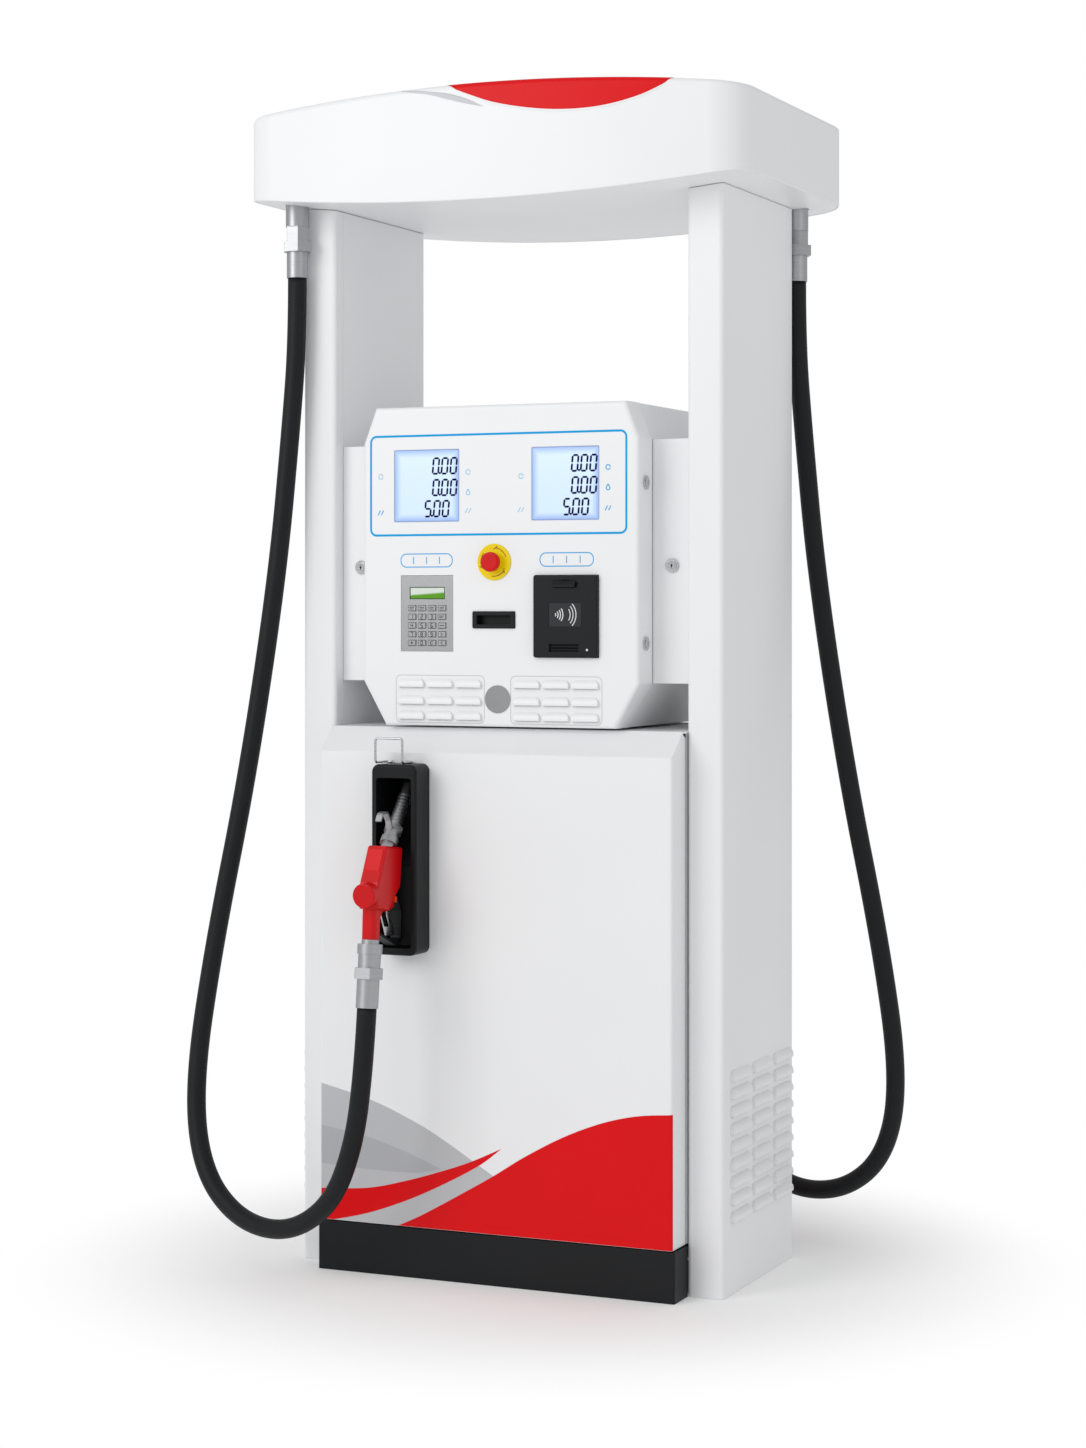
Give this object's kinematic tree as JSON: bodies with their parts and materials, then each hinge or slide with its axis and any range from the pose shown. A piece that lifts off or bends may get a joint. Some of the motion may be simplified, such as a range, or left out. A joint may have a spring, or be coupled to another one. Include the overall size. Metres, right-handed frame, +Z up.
{
  "type": "fuel dispenser",
  "caption": "Free-standing two-sided fuel pump: cabinet, head with displays and keypad, columns, arched canopy, hoses with nozzles.",
  "frame": {"origin": "centre of the footprint on the floor", "axes": "+Z up, -Y towards the front lane, +X to the right of someone facing the front"},
  "size_m": [1.2922, 0.9418, 2.296],
  "materials": {
    "white_paint": "satin gloss powder coat",
    "black_paint": "satin",
    "frame_paint": "matt primer",
    "boot_plastic": "fine moulded grain",
    "hose_rubber": "cloth-wrapped, matt",
    "belt_rubber": "matt",
    "aluminium_fitting": "turned and anodised",
    "nozzle_red": "gloss",
    "lever_steel": "polished wire and plate",
    "display_glass": "lit liquid crystal behind a clear window",
    "keypad_steel": "brushed",
    "reader_plastic": "satin",
    "stop_yellow": "gloss",
    "stop_red": "gloss",
    "lock_chrome": "plated",
    "motor_paint": "gloss",
    "pump_iron": "machined and painted",
    "meter_aluminium": "die cast",
    "valve_brass": "machined",
    "pipe_steel": "drawn tube"
  },
  "bodies": {
    "root": {"base_frame": "frame_paint", "cabinet_deck": "white_paint", "cabinet_door_front": "white_paint", "cabinet_door_rear": "white_paint", "canopy_shell": "white_paint", "canopy_soffit": "white_paint", "column_cover_left": "white_paint", "column_cover_right": "white_paint", "column_inner_panels": "white_paint", "control_box": "frame_paint", "flow_meters": "meter_aluminium", "head_frame": "white_paint", "hose_front": "hose_rubber", "hose_outlet_front": "aluminium_fitting", "hose_outlet_rear": "aluminium_fitting", "hose_rear": "hose_rubber", "inner_brackets": "frame_paint", "kick_plates": "black_paint", "motor": "motor_paint", "nozzle_boot_front": "boot_plastic", "nozzle_boot_rear": "boot_plastic", "pipework": "pipe_steel", "portal_frame": "frame_paint", "pump": "pump_iron", "solenoid_valves": "valve_brass", "v_belt": "belt_rubber", "wing_covers": "white_paint", "wing_locks": "lock_chrome"},
    "head_door_front": {"head_door_front": "white_paint", "displays_front": "display_glass", "keypad_plate_front": "keypad_steel", "card_reader_front": "reader_plastic", "receipt_slot_front": "reader_plastic", "stop_collar_front": "stop_yellow", "door_locks_front": "lock_chrome"},
    "stop_button_front": {"stop_button_front": "stop_red"},
    "keypad_keys_front": {"keypad_keys_front": "keypad_steel"},
    "bail_front": {"wire_bail_front": "lever_steel"},
    "nozzle_front": {"nozzle_body_front": "nozzle_red", "nozzle_spout_front": "aluminium_fitting", "nozzle_guard_front": "boot_plastic"},
    "lever_front": {"nozzle_lever_front": "lever_steel"},
    "swivel_front": {"hose_swivel_front": "aluminium_fitting"},
    "head_door_rear": {"head_door_rear": "white_paint", "displays_rear": "display_glass", "keypad_plate_rear": "keypad_steel", "card_reader_rear": "reader_plastic", "receipt_slot_rear": "reader_plastic", "stop_collar_rear": "stop_yellow", "door_locks_rear": "lock_chrome"},
    "stop_button_rear": {"stop_button_rear": "stop_red"},
    "keypad_keys_rear": {"keypad_keys_rear": "keypad_steel"},
    "bail_rear": {"wire_bail_rear": "lever_steel"},
    "nozzle_rear": {"nozzle_body_rear": "nozzle_red", "nozzle_spout_rear": "aluminium_fitting", "nozzle_guard_rear": "boot_plastic"},
    "lever_rear": {"nozzle_lever_rear": "lever_steel"},
    "swivel_rear": {"hose_swivel_rear": "aluminium_fitting"},
    "motor_rotor": {"motor_pulley": "pump_iron"},
    "pump_rotor": {"pump_pulley": "pump_iron"}
  },
  "joints": [
    {"name": "head_door_front_hinge", "type": "hinge", "parent": "root", "child": "head_door_front", "pos_m": [-0.281, -0.231, 1.38], "axis": [0, 0, -1], "range_deg": [0, 90]},
    {"name": "stop_button_front_press", "type": "slide", "parent": "head_door_front", "child": "stop_button_front", "axis": [0, 1, 0], "range_m": [0, 0.004], "stiffness_N_per_m": 600, "springref_m": -0.003},
    {"name": "keypad_front_press", "type": "slide", "parent": "head_door_front", "child": "keypad_keys_front", "axis": [0, 1, 0], "range_m": [0, 0.0015], "stiffness_N_per_m": 800, "springref_m": -0.001},
    {"name": "bail_front_swing", "type": "hinge", "parent": "root", "child": "bail_front", "pos_m": [-0.195, -0.2765, 1.0007], "axis": [-1, 0, 0], "range_deg": [0, 45]},
    {"name": "nozzle_front_lift_out", "type": "slide", "parent": "root", "child": "nozzle_front", "axis": [0, -0.9936, 0.1132], "range_m": [0, 0.15]},
    {"name": "lever_front_squeeze", "type": "hinge", "parent": "nozzle_front", "child": "lever_front", "pos_m": [-0.181, -0.366, 0.734], "axis": [-1, 0, 0], "range_deg": [0, 13], "stiffness_Nm_per_rad": 3, "springref_deg": -8.59},
    {"name": "swivel_front_turn", "type": "hinge", "parent": "nozzle_front", "child": "swivel_front", "pos_m": [-0.181, -0.426, 0.671], "axis": [0, -0.1164, -0.9932], "continuous": true},
    {"name": "head_door_rear_hinge", "type": "hinge", "parent": "root", "child": "head_door_rear", "pos_m": [0.281, 0.231, 1.38], "axis": [0, 0, -1], "range_deg": [0, 90]},
    {"name": "stop_button_rear_press", "type": "slide", "parent": "head_door_rear", "child": "stop_button_rear", "axis": [0, -1, 0], "range_m": [0, 0.004], "stiffness_N_per_m": 600, "springref_m": -0.003},
    {"name": "keypad_rear_press", "type": "slide", "parent": "head_door_rear", "child": "keypad_keys_rear", "axis": [0, -1, 0], "range_m": [0, 0.0015], "stiffness_N_per_m": 800, "springref_m": -0.001},
    {"name": "bail_rear_swing", "type": "hinge", "parent": "root", "child": "bail_rear", "pos_m": [0.195, 0.2765, 1.0007], "axis": [1, 0, 0], "range_deg": [0, 45]},
    {"name": "nozzle_rear_lift_out", "type": "slide", "parent": "root", "child": "nozzle_rear", "axis": [0, 0.9936, 0.1132], "range_m": [0, 0.15]},
    {"name": "lever_rear_squeeze", "type": "hinge", "parent": "nozzle_rear", "child": "lever_rear", "pos_m": [0.181, 0.366, 0.734], "axis": [1, 0, 0], "range_deg": [0, 13], "stiffness_Nm_per_rad": 3, "springref_deg": -8.59},
    {"name": "swivel_rear_turn", "type": "hinge", "parent": "nozzle_rear", "child": "swivel_rear", "pos_m": [0.181, 0.426, 0.671], "axis": [0, 0.1164, -0.9932], "continuous": true},
    {"name": "motor_spin", "type": "hinge", "parent": "root", "child": "motor_rotor", "pos_m": [-0.07, 0.06, 0.205], "axis": [1, 0, 0], "continuous": true},
    {"name": "pump_spin", "type": "hinge", "parent": "root", "child": "pump_rotor", "pos_m": [-0.07, -0.02, 0.4], "axis": [1, 0, 0], "continuous": true}
  ],
  "couplings": [
    {"joint": "pump_spin", "follows": "motor_spin", "ratio": 0.41861}
  ]
}
